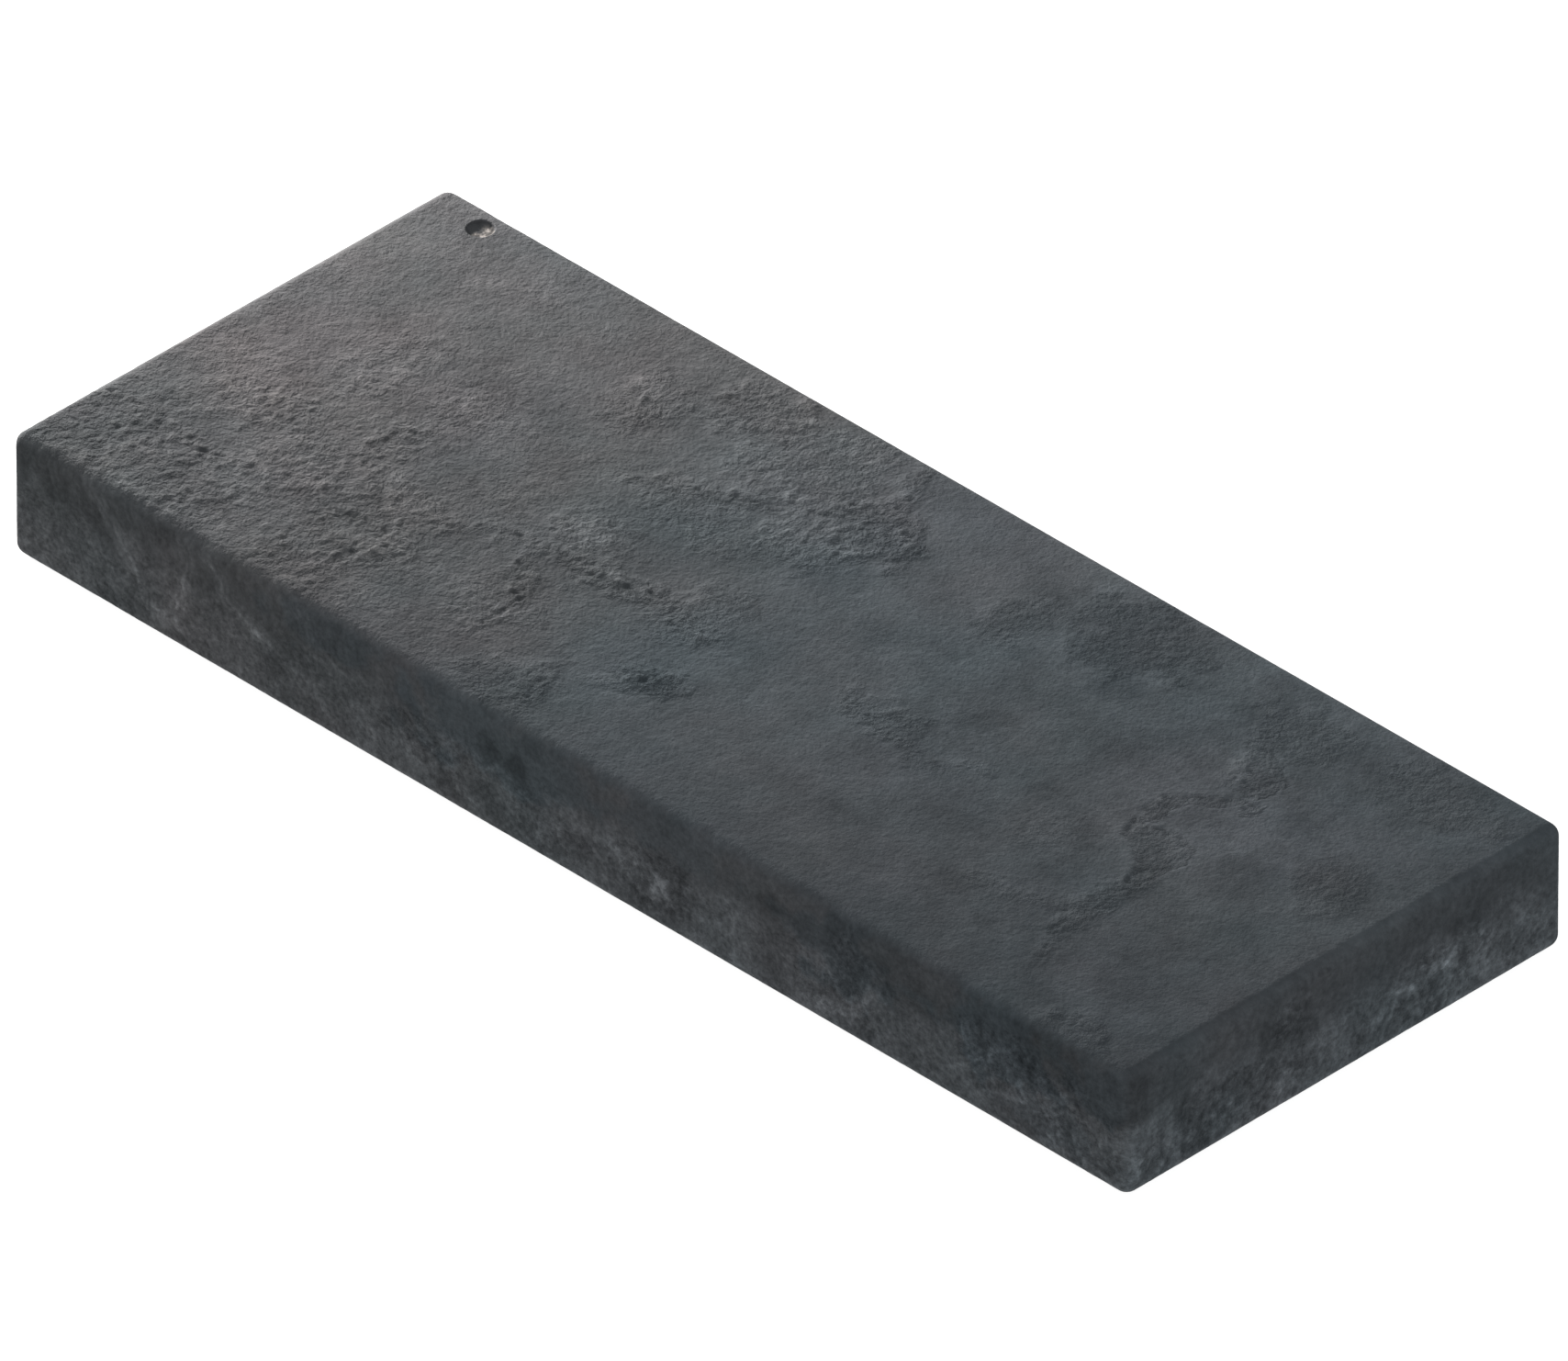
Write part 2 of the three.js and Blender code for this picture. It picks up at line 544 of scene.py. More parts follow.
def vein_fields(a, b, uneven, veins):
    """Height and paleness of a set of veins: a broken crest, a faint line beside it and a haze."""
    height = np.zeros(len(a))
    pale = np.zeros(len(a))
    for path, width, crest_height, paleness in veins:
        distance = path_distance(a, b, path)
        crest = bell(distance, width) * (0.3 + 0.7 * uneven)
        beside = bell(distance - VEIN_GAP, width) * np.clip(1.2 - uneven, 0, 1)
        height += crest_height * crest
        pale = np.maximum(pale, paleness * (crest + 0.4 * beside + 0.07 * bell(distance, VEIN_HAZE)))
    return height, pale


def warped(a, b, points, wide, fine):
    """(a, b) pushed about by noise, so that a feature's drawn line breaks up like stone."""
    da = noise_e(points, 4.0) * wide + noise_f(points, 1.2) * fine
    db = noise_e(points + 50, 4.0) * wide + noise_f(points + 50, 1.2) * fine
    return a + da, b + db


# ---------------------------------------------------------------- relief and tint of the stone
def face_places(points):
    """Along, across and down (from the top face) of points."""
    along = points[:, 0] + LENGTH / 2
    across = WIDTH / 2 - points[:, 1]
    down = THICK - points[:, 2]
    return along, across, down


def leaning(points, noise, wavelength):
    """Points shifted along the slab by noise, so that relief read there has steep and gentle sides."""
    lean = noise(points, wavelength) * wavelength * LEDGE_LEAN
    return points + np.outer(lean, (1, 0, 0))


def lumps(points):
    """Broken grain of a rough patch, about -1 to 1: small ledges, steep towards the dimple end."""
    crumbs = np.zeros(len(points))
    for wavelength, share in LUMP_SIZES:
        place = leaning(points + wavelength * 7, noise_d, wavelength)
        crest = np.clip(1 - 1.6 * np.abs(noise_e(place, wavelength * 1.15)), 0, 1) ** 2
        crumbs += share * (0.7 * noise_d(place, wavelength) + 0.4 * (crest - 0.4))
    return np.where(crumbs < 0, HOLLOW_SHARE * crumbs, crumbs)


def top_fields(points, along, across):
    """Relief, roughness share, shade and coolness of the top face."""
    ragged = fraying(points, 6.0)
    uneven = line_strength(points, 1.2, 0.4)
    mottle = clouds(noise_b, points + 70, 9.0, 4, 0.7)
    quiet = smooth(*TOP_QUIET, along)
    a, b = warped(along, across, points, 1.1, 0.6)

    # shape: cracks and lost flakes, and how rough the ground between them is
    cracks, banks = crack_fields(a, b, uneven, TOP_CRACKS)
    cracks *= 1 - QUIET_CRACK * quiet
    scar, scar_relief = scar_fields(*warped(along, across, points, 0.3, 0.45), TOP_SCARS)
    broken = patches(a, b, ragged, TOP_ROUGH)
    worn = (1 - smooth(*TOP_WORN, along)) * (0.22 + 0.36 * smooth(*TOP_WORN_ACROSS, across))
    rough = (broken + BANK_ROUGH * banks) * (1 - QUIET_ROUGH * quiet)
    rough = rough + worn * (0.8 + ragged) + SCAR_ROUGH * scar
    rough = np.clip(rough + TOP_LEVEL - 0.02 * quiet, 0, ROUGH_LIMIT)

    # shade: mottled, with dark stains, pale worn spots, and dark flakes and crack banks, then painted
    # light falling off towards the front
    stain = patches(a, b, ragged, TOP_STAINS_AND_SHADE)
    pale = patches(a, b, ragged, TOP_PALE)
    shade = 1 + (TOP_MOTTLE + 0.06 * rough + 0.07 * quiet) * mottle
    shade *= 1 + quiet * (0.03 - 0.22 * broken * (1 + mottle))
    shade *= stained(stain, mottle, TOP_STAIN)
    shade *= 1 + PALE_SPOT * pale
    shade *= 1 - SCAR_DARK * scar - BANK_DARK * banks
    # Painted light: the top is painted darker from its back side to its front side, as the lamp's light
    # falls off
    shade *= TOP_PAINTED_FALLOFF - (0.06 + 0.10 * quiet) * across / WIDTH
    cool = smooth(*TOP_COOLS, along + 14 * noise_c(points, 22.0)) + 0.3 * stain
    return cracks + scar_relief, rough, shade, cool


def side_fields(points, a, down, marks, fibre=0.4, base_cool=0.0, tone=1.0):
    """Relief, roughness share, shade and coolness of a side, where a runs along it.

    fibre is the strength of its streaks, base_cool the coolness between its cool patches, and tone a
    factor on its shade.
    """
    ragged = fraying(points, 5.0)
    uneven = line_strength(points, 0.9, 0.5)
    mottle = clouds(noise_b, points + 70, 6.0, 5, 0.8)
    wa, wb = warped(a, down, points, 0.6, 0.3)
    deep = smooth(*SIDE_BAND, down + ragged * 6)

    # streaks and pale wisps are noise drawn out at a slant, most of all near the top
    slanted = np.stack([wa - 0.35 * wb, wb * (0.25 + 0.5 * deep), 0 * wa], 1)
    streaks = clouds(noise_f, slanted + 33, STREAK_SIZE, 3, 1.0)
    wisps = bell(noise_c(slanted + 51, 12.0), 0.07)
    wisps = wisps * np.clip(uneven * (0.3 + noise_a(points, 9.0)), 0, 1)

    relief, pale = vein_fields(wa, wb, uneven, marks["veins"])
    relief += STREAK_HEIGHT * (fibre * streaks + wisps)
    broken = patches(wa, wb, ragged, marks["rough"])
    rough = np.clip(SIDE_LEVEL + SIDE_LOW_ROUGH * deep + broken, 0, ROUGH_LIMIT)

    stain = patches(wa, wb, ragged, marks["stains"])
    shade = SIDE_SHADE + SIDE_LOW_SHADE * deep
    shade += (SIDE_MOTTLE + SIDE_LOW_MOTTLE * deep) * mottle
    shade += STREAK_PALE * fibre * streaks
    shade += 0.09 * noise_e(points + 11, 15.0)
    # Painted light: each side is painted paler just below its top edge
    shade *= 1 + 0.08 * bell(down, 2.8)
    shade *= stained(stain, mottle, SIDE_STAIN)
    shade *= tone * (1 + VEIN_PALE * pale + WISP_PALE * wisps) * (1 + 0.15 * broken * streaks)
    cool = np.maximum(patches(wa, wb, ragged, marks["cool"]), base_cool)
    return relief, rough, shade, cool


def face_fields(face, points, along, across, down):
    """Relief, roughness share, shade and coolness of the named face."""
    if face == "top":
        return top_fields(points, along, across)
    if face == "front":
        fibre = 1 - 0.6 * smooth(*FRONT_FIBRE, along)
        base_cool = 0.6 * smooth(*FRONT_COOLS, along)
        return side_fields(points, along, down, FRONT_MARKS, fibre, base_cool, FRONT_TONE)
    if face == "right":
        return side_fields(points, across, down, RIGHT_MARKS, base_cool=0.9, tone=RIGHT_TONE)
    if face == "back":
        return side_fields(points, LENGTH - along, down, BACK_MARKS)
    # The end nearest the lamp gets the darker tone: painted shade
    if face == "left":
        return side_fields(points, WIDTH - across, down, LEFT_MARKS, tone=LEFT_TONE_PAINTED_SHADE)
    return side_fields(points, along, np.full(len(points), UNDER_DOWN), UNDER_MARKS)


def edge_distances(points):
    """Distance from the nearest edge, the nearest level edge, and the top's front edge."""
    half = np.array((LENGTH, WIDTH, THICK)) / 2
    inset = np.clip(half - np.abs(points - np.array((0, 0, THICK / 2))), 0, None)
    from_any = np.sort(inset, axis=1)[:, 1]
    from_level = np.maximum(inset[:, 2], inset[:, :2].min(1))
    from_front = np.hypot(points[:, 1] + WIDTH / 2, THICK - points[:, 2])
    return from_any, from_level, from_front


def front_edge_broken(points):
    """1 at the dimple end, where the top's front edge is broken up, and 0 beyond its broken stretch."""
    return 1 - smooth(*FRONT_EDGE_BROKEN, points[:, 0] + LENGTH / 2)


def edge_wear(points):
    """How far the worn edges are rubbed in."""
    from_edge, _, from_front = edge_distances(points)
    nicks = smooth(0.0, 0.8, clouds(noise_a, points + 15, 7.0, 4, 0.65))
    nicks = nicks * (0.4 + 0.6 * front_edge_broken(points))
    bites = smooth(0.0, 0.7, clouds(noise_a, points + 15, 12.0, 2))
    front = FRONT_NICK * bites * bell(from_front, EDGE_REACH)
    return front + (EDGE_WEAR + EDGE_NICK * nicks) * bell(from_edge, EDGE_REACH)


def relief_kept(points):
    """Share of the relief that handling has left: least at the edges, except the broken front edge."""
    from_edge, _, from_front = edge_distances(points)
    broken = FRONT_EDGE_KEEPS * bell(from_front, FRONT_EDGE_REACH) * front_edge_broken(points)
    return np.clip(EDGE_KEEPS + (1 - EDGE_KEEPS) * smooth(*EDGE_SMOOTHED, from_edge) + broken, 0, 1)


def edge_pale_and_lit(points):
    """How much paler the worn level edges are, partly painted light on their rounding: a factor on the
    stone's colour.
    """
    _, from_edge, _ = edge_distances(points)
    rubbed_and_lit = np.clip(0.75 + 0.6 * clouds(noise_b, points + 31, 5.0, 3), 0, 1.4)
    return 1 + EDGE_PALE_AND_LIT * rubbed_and_lit * bell(from_edge, EDGE_PALE_AND_LIT_REACH)


def stone_fields(points, normals):
    """Relief, a tint of three channels with painted light in it, a roughness share and a share of grit
    for each point.
    """
    facing = {
        "top": normals[:, 2], "front": -normals[:, 1], "right": normals[:, 0],
        "back": normals[:, 1], "left": -normals[:, 0], "under": -normals[:, 2],
    }
    share = {face: smooth(*FACE_COSINES, cosine) for face, cosine in facing.items()}
    total = sum(share.values())
    places = np.array(face_places(points))
    blended = np.zeros((4, len(points)))
    for face in facing:
        near = share[face] > 0
        weight = (share[face] / total)[near]
        blended[:, near] += weight * np.array(face_fields(face, points[near], *places[:, near]))
    relief, rough, shade, cool = blended
    grit = (1 - share["top"] / total) * np.clip(0.3 + 1.4 * rough, 0, 1)

    crumbs = lumps(points) * rough
    grain = noise_f(leaning(points, noise_f, GRAIN_SIZE), GRAIN_SIZE)
    relief += clouds(noise_c, points, SWELL_SIZE, 2) * SWELL_HEIGHT
    relief += crumbs * LUMP_HEIGHT
    relief += grain * (GRAIN_HEIGHT + ROUGH_GRAIN * rough) * (1 - 0.4 * grit)
    relief *= relief_kept(points)
    relief -= edge_wear(points)

    # Painted light: the crumbs' crests are painted paler and warmer as if lit, their hollows darker as
    # painted shade
    # The level edges are paler: partly worn, partly painted light on their rounding
    shade = shade * edge_pale_and_lit(points) * (1 + LUMP_PAINTED_LIGHT * (1 + SIDE_LUMP_PAINTED_LIGHT * grit) * crumbs)
    hue_and_painted_warmth = clouds(noise_c, points + 90, 26.0, 3) * (1 - 0.6 * grit) + 1.1 * crumbs * (1 - 0.8 * grit)
    tint = WARM_TINT + cool[:, None] * (COOL_TINT - WARM_TINT) + hue_and_painted_warmth[:, None] * HUE_SWING
    return relief, np.clip(tint * shade[:, None], 0.1, 4), np.clip(rough, 0, 1), grit


# ---------------------------------------------------------------- the slab's mesh
class Surface:
    """Points, their normals, and how far the dimple sinks each one, gathered piece by piece."""

    def __init__(self, points, normals):
        self.points = points
        self.normals = normals
        self.sink = np.zeros(len(points))

    def add(self, points, normal, sink=0.0):
        """Add points that share a normal and a sink, and return their numbers."""
        first = len(self.points)
        self.points = np.concatenate([self.points, points])
        self.normals = np.concatenate([self.normals, np.tile(normal, (len(points), 1))])
        self.sink = np.concatenate([self.sink, np.full(len(points), sink)])
        return list(range(first, len(self.points)))


def grid_lines(size, cuts, pitch, cut_steps=None):
    """Places of the grid's lines along one side of the slab, from its middle.

    The flat stretch is cut at each of cuts, and the stretch after the first cut has cut_steps steps.
    Each rounded edge has ARC_STEPS lines of its own. They lie on the square block around the edge, and
    slab_surface pulls them in.
    """
    flat = size / 2 - EDGE_RADIUS
    stops = [-flat, *cuts, flat]
    lines = []
    for number, (start, end) in enumerate(zip(stops, stops[1:])):
        steps = cut_steps if cut_steps and number == 1 else max(1, round((end - start) / pitch))
        lines.extend(np.linspace(start, end, steps + 1)[:-1])
    lines.append(flat)
    turn = np.linspace(0, math.pi / 4, ARC_STEPS + 1)[1:]
    over = flat + EDGE_RADIUS * np.tan(turn)
    return np.concatenate([-over[::-1], lines, over])


def slab_surface(block_points):
    """Points and normals of the rounded slab for points on the square block around it."""
    half = np.array((LENGTH, WIDTH, THICK)) / 2 - EDGE_RADIUS
    core = np.clip(block_points, -half, half)
    out = block_points - core
    normals = out / np.linalg.norm(out, axis=1)[:, None]
    points = core + normals * EDGE_RADIUS
    points[:, 2] += THICK / 2
    return points, normals


def grid_quads(sheet, keep=None):
    """The quads of a sheet of point numbers, or those of its cells that keep marks."""
    cells = np.stack([sheet[:-1, :-1], sheet[1:, :-1], sheet[1:, 1:], sheet[:-1, 1:]], -1)
    return cells[keep] if keep is not None else cells.reshape(-1, 4)


def block_shell(xs, ys, zs, keep_top, keep_under):
    """The grid's outer shell as a Surface, its quads, and the point's number at each grid place."""
    number = np.arange(len(xs) * len(ys) * len(zs)).reshape(len(xs), len(ys), len(zs))
    quads = np.concatenate([
        grid_quads(number[:, :, -1], keep_top),
        grid_quads(number[:, :, 0], keep_under)[:, ::-1],
        grid_quads(number[:, 0, :]),
        grid_quads(number[:, -1, :])[:, ::-1],
        grid_quads(number[0, :, :])[:, ::-1],
        grid_quads(number[-1, :, :]),
    ])
    used, quads = np.unique(quads, return_inverse=True)
    i, j, k = np.unravel_index(used, number.shape)
    surface = Surface(*slab_surface(np.stack([xs[i], ys[j], zs[k]], 1)))
    place = {tuple(ijk): n for n, ijk in enumerate(zip(i, j, k))}
    return surface, quads.reshape(-1, 4), place


def rectangle(i_low, i_high, j_low, j_high):
    """The grid places around a rectangle, counter-clockwise from its lowest corner."""
    around = [(i, j_low) for i in range(i_low, i_high)]
    around += [(i_high, j) for j in range(j_low, j_high)]
    around += [(i, j_high) for i in range(i_high, i_low, -1)]
    around += [(i_low, j) for j in range(j_high, j_low, -1)]
    return around


def sew_underside(surface, xs, ys, place):
    """Close the underside with a coarser sheet sewn to the fine grid's edge. Returns its triangles."""
    last_i, last_j = len(xs) - 1 - ARC_STEPS, len(ys) - 1 - ARC_STEPS
    rim = rectangle(ARC_STEPS, last_i, ARC_STEPS, last_j)
    half_x, half_y = LENGTH / 2 - EDGE_RADIUS, WIDTH / 2 - EDGE_RADIUS
    inner = [
        (x, y)
        for x in np.arange(-half_x + UNDER_PITCH, half_x - UNDER_PITCH / 2, UNDER_PITCH)
        for y in np.arange(-half_y + UNDER_PITCH, half_y - UNDER_PITCH / 2, UNDER_PITCH)
    ]
    flat_points = [(xs[i], ys[j]) for i, j in rim] + inner
    loop = [(n, (n + 1) % len(rim)) for n in range(len(rim))]
    _, _, faces, sources, _, _ = delaunay_2d_cdt([Vector(p) for p in flat_points], loop, [], 1, 1e-5)
    numbers = [place[i, j, 0] for i, j in rim]
    numbers += surface.add([(x, y, 0.0) for x, y in inner], (0.0, 0.0, -1.0))
    ids = [numbers[source[0]] for source in sources]
    return [tuple(ids[n] for n in reversed(face)) for face in faces]


def fill_dimple(surface, square, ring, centre):
    """Fill the grid's square hole with rings over the rim, down the wall and across the floor.

    square is the hole's edge around centre, and ring the numbers of its points.
    Returns the quads between the rings and the triangles in the middle.
    """
    up = (0.0, 0.0, 1.0)
    turn = np.arctan2(square[:, 1], square[:, 0])
    circle = np.stack([np.cos(turn), np.sin(turn)], 1) * DIMPLE_RADIUS
    rings = [(square * (1 - t) + circle * t, 0.0) for t in DIMPLE_COLLAR]
    rings += [(circle * share, depth) for share, depth in DIMPLE_PROFILE]
    quads = []
    count = len(ring)
    after = [(n + 1) % count for n in range(count)]
    for flat, depth in rings:
        points = np.stack([flat[:, 0] + centre[0], flat[:, 1] + centre[1], np.full(count, THICK)], 1)
        below = surface.add(points, up, depth)
        quads += [(ring[n], ring[after[n]], below[after[n]], below[n]) for n in range(count)]
        ring = below
    middle = surface.add([(*centre, THICK)], up, DIMPLE_PROFILE[-1][1])[0]
    return quads, [(ring[n], ring[after[n]], middle) for n in range(count)]


def slab_mesh():
    """The slab as a Surface, its quads and its triangles."""
    centre = (-LENGTH / 2 + DIMPLE_ALONG, WIDTH / 2 - DIMPLE_ACROSS)
    hole_x = (centre[0] - DIMPLE_PATCH, centre[0] + DIMPLE_PATCH)
    hole_y = (centre[1] - DIMPLE_PATCH, WIDTH / 2 - EDGE_RADIUS)
    xs = grid_lines(LENGTH, hole_x, TOP_PITCH, DIMPLE_SIDE_STEPS)
    ys = grid_lines(WIDTH, hole_y[:1], TOP_PITCH, DIMPLE_SIDE_STEPS)
    zs = grid_lines(THICK, [], SIDE_PITCH)
    i_low, i_high = (np.searchsorted(xs, x - HAIR) for x in hole_x)
    j_low, j_high = (np.searchsorted(ys, y - HAIR) for y in hole_y)
    keep_top = np.ones((len(xs) - 1, len(ys) - 1), bool)
    keep_under = keep_top.copy()
    keep_top[i_low:i_high, j_low:j_high] = False
    keep_under[ARC_STEPS:-ARC_STEPS, ARC_STEPS:-ARC_STEPS] = False
    surface, quads, place = block_shell(xs, ys, zs, keep_top, keep_under)
    triangles = sew_underside(surface, xs, ys, place)

    edge = rectangle(i_low, i_high, j_low, j_high)
    square = np.array([(xs[i] - centre[0], ys[j] - centre[1]) for i, j in edge])
    ring = [place[i, j, len(zs) - 1] for i, j in edge]
    dimple_quads, dimple_triangles = fill_dimple(surface, square, ring, centre)
    quads = np.concatenate([quads, np.array(dimple_quads)])
    return surface, quads, np.array(triangles + dimple_triangles)


def add_attribute(mesh, name, kind, field, values):
    layer = mesh.attributes.new(name, kind, "POINT")
    layer.data.foreach_set(field, values.astype(np.float32).ravel())


def build_slab(material):
    """The slab's object, with its relief in the mesh and what its material needs in attributes."""
    surface, quads, triangles = slab_mesh()
    points, sink = surface.points, surface.sink
    relief, tint, rough, grit = stone_fields(points, surface.normals)
    in_dimple = smooth(0.0, 0.5, sink)
    floor = clouds(noise_d, points + 5, 1.1, 3) * DIMPLE_FLOOR_ROUGHNESS
    relief = relief * (1 - in_dimple) + floor * in_dimple - sink
    # The crushed stone lies only on the dimple's far side, which the lamp lights: partly painted light
    beyond = (points[:, 0] + LENGTH / 2 - DIMPLE_ALONG) / DIMPLE_RADIUS
    crushed_and_lit = smooth(*CRUSHED_AND_LIT_PLACES, beyond + noise_e(points, 1.3) * 0.4)
    crushed_and_lit = crushed_and_lit * smooth(*CRUSHED_AND_LIT_DEPTHS, sink)
    placed = (points + surface.normals * relief[:, None]) * MM

    corners = np.concatenate([quads.ravel(), triangles.ravel()])
    sizes = np.concatenate([np.full(len(quads), 4), np.full(len(triangles), 3)])
    starts = np.concatenate([[0], np.cumsum(sizes)[:-1]])
    mesh = bpy.data.meshes.new("stone")
    mesh.vertices.add(len(placed))
    mesh.vertices.foreach_set("co", placed.astype(np.float32).ravel())
    mesh.loops.add(len(corners))
    mesh.loops.foreach_set("vertex_index", corners.astype(np.int32))
    mesh.polygons.add(len(sizes))
    mesh.polygons.foreach_set("loop_start", starts.astype(np.int32))
    mesh.polygons.foreach_set("use_smooth", np.ones(len(sizes), bool))
    mesh.update(calc_edges=True)
    mesh.validate()

    add_attribute(mesh, "rough_share", "FLOAT", "value", rough)
    add_attribute(mesh, "dimple_crush_and_light_share", "FLOAT", "value", crushed_and_lit)
    add_attribute(mesh, "grit_share", "FLOAT", "value", grit)
    add_attribute(mesh, "stone_colour_and_light", "FLOAT_VECTOR", "vector", tint)
    slab = bpy.data.objects.new("riven_slab", mesh)
    bpy.context.scene.collection.objects.link(slab)
    mesh.materials.append(material)
    return slab


# ---------------------------------------------------------------- slate material
# Each tone is a place on a noise's scale from 0 to 1 and the colour there
SLATE_TONES = [(0.35, (0.0637, 0.0706, 0.0749, 1)), (0.68, (0.0752, 0.0751, 0.0792, 1))]
CRUSHED_AND_LIT_TONES = [(0.42, (0.075, 0.073, 0.072, 1)), (0.62, (0.30, 0.28, 0.265, 1))]
BUMP_HEIGHT = 0.25
GLOSS = 0.002
MATTNESS = 0.72


def set_tones(ramp_node, tones):
    """Give a colour ramp its two tones."""
    for element, (position, colour) in zip(ramp_node.color_ramp.elements, tones):
        element.position = position
        element.color = colour


def slate_material():
    """Slate in cool and warm tones with fine specks and grain, and pale where the dimple's stone is
    ground up, on its lit side only: partly painted light.
    """
    material = bpy.data.materials.new("slate")
    material.use_nodes = True
    tree = material.node_tree
    tree.nodes.clear()

    def node(kind, **values):
        made = tree.nodes.new(kind)
        for name, value in values.items():
            setattr(made, name, value)
        return made

    def link(source, target):
        tree.links.new(source, target)

    def share(name):
        return node("ShaderNodeAttribute", attribute_name=name).outputs["Fac"]

    def maths(operation, a, b, c=None):
        made = node("ShaderNodeMath", operation=operation)
        for socket, value in zip(made.inputs, (a, b, c)):
            if isinstance(value, (int, float)):
                socket.default_value = value
            elif value is not None:
                link(value, socket)
        return made.outputs["Value"]

    def noise(wavelength, detail, roughness, distortion=0.0):
        made = node("ShaderNodeTexNoise")
        made.inputs["Scale"].default_value = 1 / (wavelength * MM)
        made.inputs["Detail"].default_value = detail
        made.inputs["Roughness"].default_value = roughness
        made.inputs["Distortion"].default_value = distortion
        link(coordinates.outputs["Object"], made.inputs["Vector"])
        return made.outputs["Fac"]

    def toned(source, tones):
        made = node("ShaderNodeValToRGB")
        set_tones(made, tones)
        link(source, made.inputs["Fac"])
        return made.outputs["Color"]

    coordinates = node("ShaderNodeTexCoord")
    rough = share("rough_share")

    # colour: slate tones, then the stone's tint with its painted light and shade, then fine mineral
    # specks, then the crushed stone, which is partly painted light
    shaded = node("ShaderNodeVectorMath", operation="MULTIPLY")
    link(toned(noise(34, detail=4, roughness=0.55), SLATE_TONES), shaded.inputs[0])
    tint = node("ShaderNodeAttribute", attribute_name="stone_colour_and_light")
    link(tint.outputs["Vector"], shaded.inputs[1])
    speck_swing = maths("SUBTRACT", noise(0.8, detail=3, roughness=0.65), 0.5)
    speck_reach = maths("MULTIPLY_ADD", share("grit_share"), 1.3, 0.5)
    specked = node("ShaderNodeVectorMath", operation="SCALE")
    link(shaded.outputs["Vector"], specked.inputs[0])
    link(maths("MULTIPLY_ADD", speck_swing, speck_reach, 1.0), specked.inputs["Scale"])
    # The crushed stone lies only on the dimple's lit side: partly painted light
    crushed_and_lit = node("ShaderNodeMix", data_type="RGBA")
    link(share("dimple_crush_and_light_share"), crushed_and_lit.inputs["Factor"])
    link(specked.outputs["Vector"], crushed_and_lit.inputs["A"])
    link(toned(noise(0.9, detail=3, roughness=0.6), CRUSHED_AND_LIT_TONES), crushed_and_lit.inputs["B"])

    # relief too fine for the mesh: grain all over, and chips where the stone is rough
    fine = noise(0.55, detail=3, roughness=0.55)
    grain = maths("MULTIPLY", maths("MULTIPLY_ADD", rough, 1.5, 0.44), fine)
    broken = noise(1.2, detail=4, roughness=0.65, distortion=0.4)
    chips = maths("MULTIPLY", maths("MULTIPLY_ADD", rough, 1.6, 0.1), broken)
    bump = node("ShaderNodeBump")
    bump.inputs["Strength"].default_value = 1.0
    bump.inputs["Distance"].default_value = BUMP_HEIGHT * MM
    link(maths("ADD", grain, chips), bump.inputs["Height"])

    shader = node("ShaderNodeBsdfPrincipled")
    shader.inputs["Specular IOR Level"].default_value = GLOSS
    shader.inputs["Metallic"].default_value = 0.0
    matt = maths("MULTIPLY_ADD", noise(2.5, detail=3, roughness=0.6), 0.24, MATTNESS)
    link(maths("MULTIPLY_ADD", rough, 0.08, matt), shader.inputs["Roughness"])
    link(crushed_and_lit.outputs["Result"], shader.inputs["Base Color"])
    link(bump.outputs["Normal"], shader.inputs["Normal"])
    output = node("ShaderNodeOutputMaterial")
    link(shader.outputs["BSDF"], output.inputs["Surface"])
    return material


slab = build_slab(slate_material())
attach(slab, "root")
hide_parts("stone_slab")

# ---------------------------------------------------------------- floor, light and camera, in metres
FLOOR_HALF = 3.0
FLOOR_GLOW = 0.95
FLOOR_GREY = 0.2
# How far the floor lies below the CAD box, clear of the underside's relief
FLOOR_GAP = 0.15 * MM

# Tones of the sky by height: paper white at the horizon, a slightly cool grey above it
SKY_TONES = [(0.04, (1.05, 1.05, 1.05, 1)), (0.12, (0.58, 0.595, 0.607, 1))]

KEY_SIZE = 0.09
KEY_POWER = 4.06
KEY_COLOUR = (1.0, 0.955, 0.92)
# From the top corner over the dimple: away from the slab's end, past its side, and up
KEY_OFFSET = (-0.248, 0.025, 0.088)
KEY_AIM_X = -0.02

LENS = 1400
SENSOR = 36
CAMERA_TURN = math.radians(45)
CAMERA_RISE = math.atan(1 / math.sqrt(2))
# Width seen at the aim, as a share of the slab's length, and how far the aim is above its middle
SEEN_SHARE = 0.9926
AIM_LIFT = 0.0009
CLIP_START = 0.1
CLIP_PAST = 5


def look_at(thing, place, aim):
    """Put a light or camera at place, turned to aim."""
    thing.location = place
    thing.rotation_mode = "QUATERNION"
    thing.rotation_quaternion = (aim - place).to_track_quat("-Z", "Y")
    bpy.context.scene.collection.objects.link(thing)


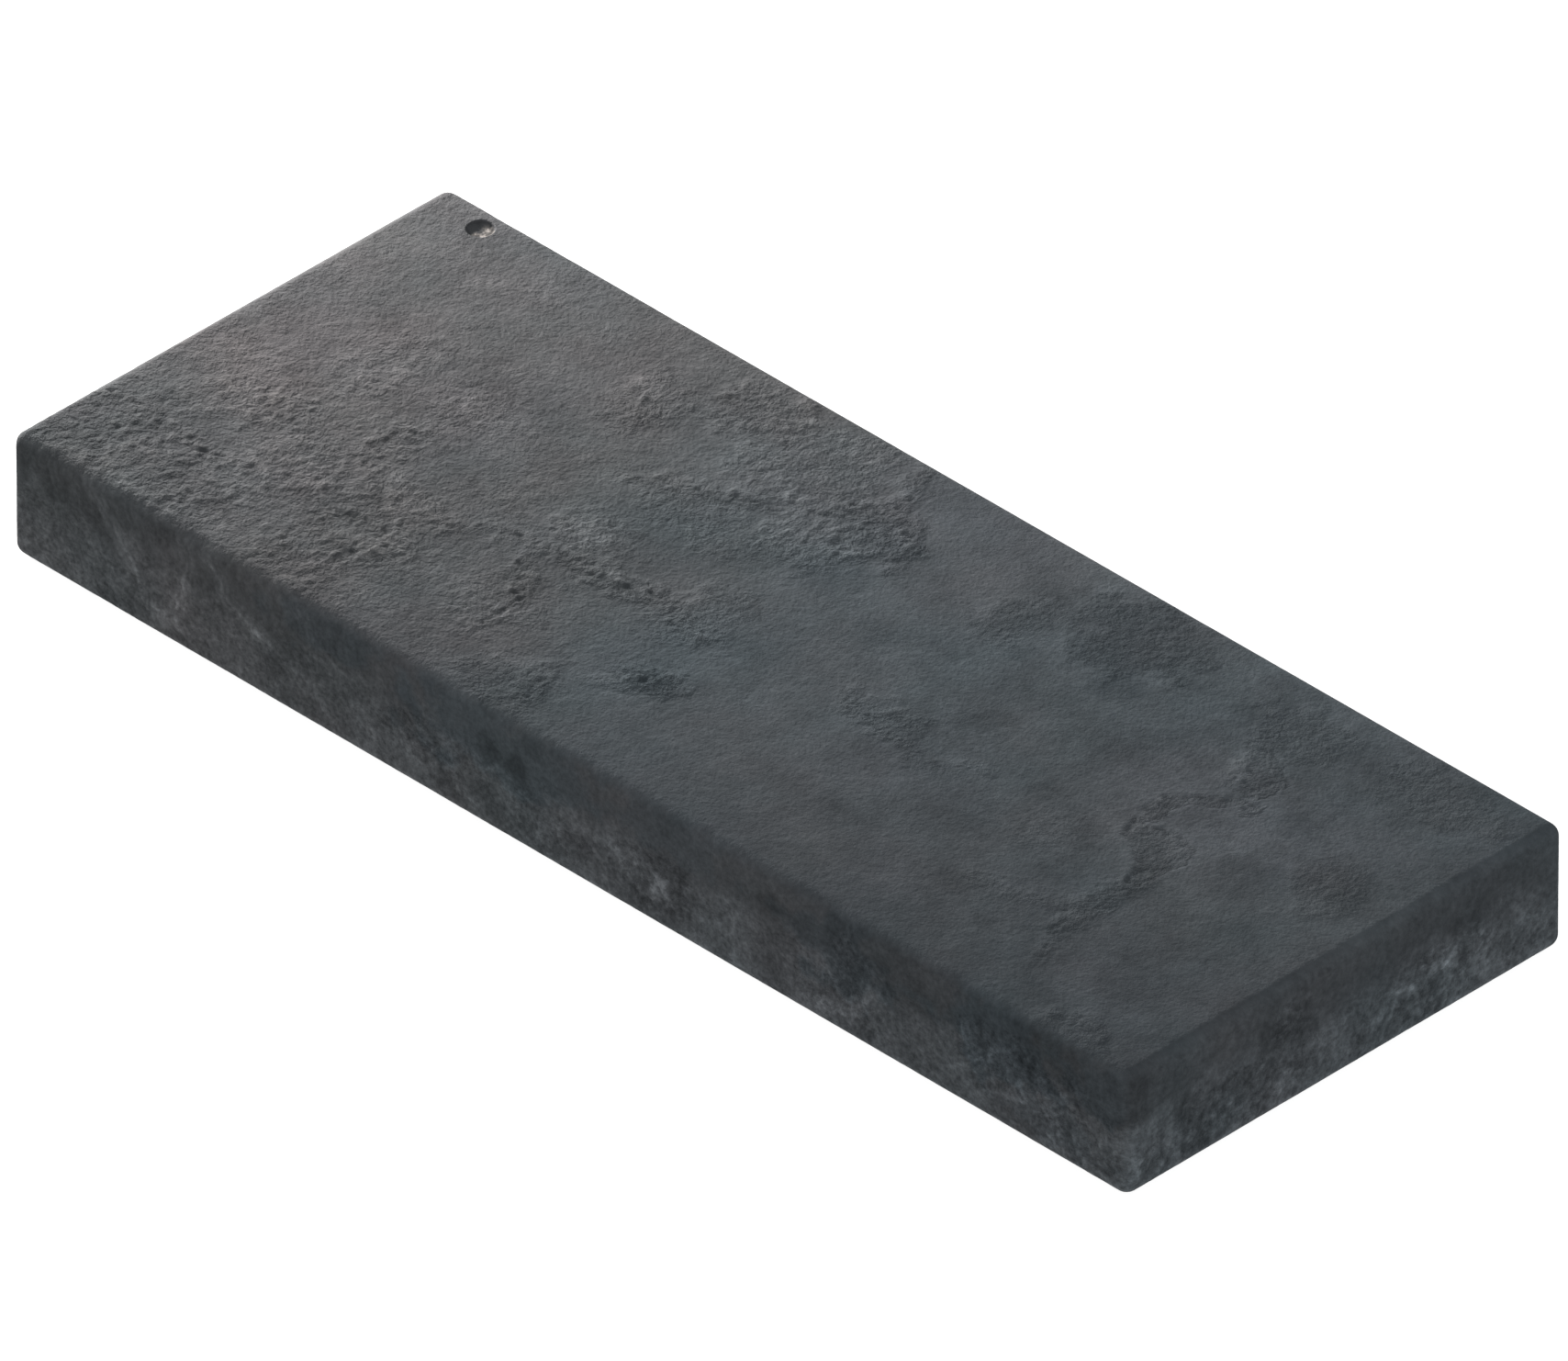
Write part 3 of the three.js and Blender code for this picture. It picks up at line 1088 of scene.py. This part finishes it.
def white_floor():
    """A plain white sweep that the stone lies on, bright enough to read as paper white."""
    mesh = bpy.data.meshes.new("floor")
    corners = [(x * FLOOR_HALF, y * FLOOR_HALF, 0) for x, y in ((-1, -1), (1, -1), (1, 1), (-1, 1))]
    mesh.from_pydata(corners, [], [(0, 1, 2, 3)])
    floor = bpy.data.objects.new("floor", mesh)
    floor.location.z = low.z - FLOOR_GAP
    bpy.context.scene.collection.objects.link(floor)
    material = bpy.data.materials.new("white_floor")
    material.use_nodes = True
    shader = material.node_tree.nodes["Principled BSDF"]
    shader.inputs["Base Color"].default_value = (FLOOR_GREY, FLOOR_GREY, FLOOR_GREY, 1)
    shader.inputs["Roughness"].default_value = 0.9
    shader.inputs["Specular IOR Level"].default_value = 0.0
    shader.inputs["Emission Color"].default_value = (1, 1, 1, 1)
    shader.inputs["Emission Strength"].default_value = FLOOR_GLOW
    mesh.materials.append(material)


def studio_world():
    """Even, slightly cool studio light from above, meeting a white horizon."""
    world = bpy.data.worlds.new("studio")
    bpy.context.scene.world = world
    world.use_nodes = True
    tree = world.node_tree
    background = tree.nodes["Background"]
    where = tree.nodes.new("ShaderNodeTexCoord")
    split = tree.nodes.new("ShaderNodeSeparateXYZ")
    ramp = tree.nodes.new("ShaderNodeValToRGB")
    set_tones(ramp, SKY_TONES)
    tree.links.new(where.outputs["Generated"], split.inputs["Vector"])
    tree.links.new(split.outputs["Z"], ramp.inputs["Fac"])
    tree.links.new(ramp.outputs["Color"], background.inputs["Color"])
    background.inputs["Strength"].default_value = 1.0


def key_light():
    """A soft warm lamp low beyond the dimple's corner: it rakes along the top face."""
    light = bpy.data.lights.new("key", "AREA")
    light.shape = "DISK"
    light.size = KEY_SIZE
    light.energy = KEY_POWER
    light.color = KEY_COLOUR
    lamp = bpy.data.objects.new("key", light)
    lamp.visible_camera = False
    place = Vector((low.x, high.y, high.z)) + Vector(KEY_OFFSET)
    look_at(lamp, place, Vector((KEY_AIM_X, 0, high.z)))


def camera():
    """A very long lens from the isometric corner, so that parallel edges stay parallel."""
    data = bpy.data.cameras.new("camera")
    data.sensor_width = SENSOR
    data.lens = LENS
    view = bpy.data.objects.new("camera", data)
    back = Vector((
        math.sin(CAMERA_TURN) * math.cos(CAMERA_RISE),
        -math.cos(CAMERA_TURN) * math.cos(CAMERA_RISE),
        math.sin(CAMERA_RISE),
    ))
    right = Vector((math.cos(CAMERA_TURN), math.sin(CAMERA_TURN), 0))
    up = back.cross(right)
    distance = LENGTH * MM * SEEN_SHARE * LENS / SENSOR
    data.clip_start = CLIP_START
    data.clip_end = distance + CLIP_PAST
    aim = Vector((0, 0, (low.z + high.z) / 2)) + up * AIM_LIFT
    look_at(view, aim + back * distance, aim)
    bpy.context.scene.camera = view


white_floor()
studio_world()
key_light()
camera()
bpy.context.scene.view_settings.view_transform = "Standard"
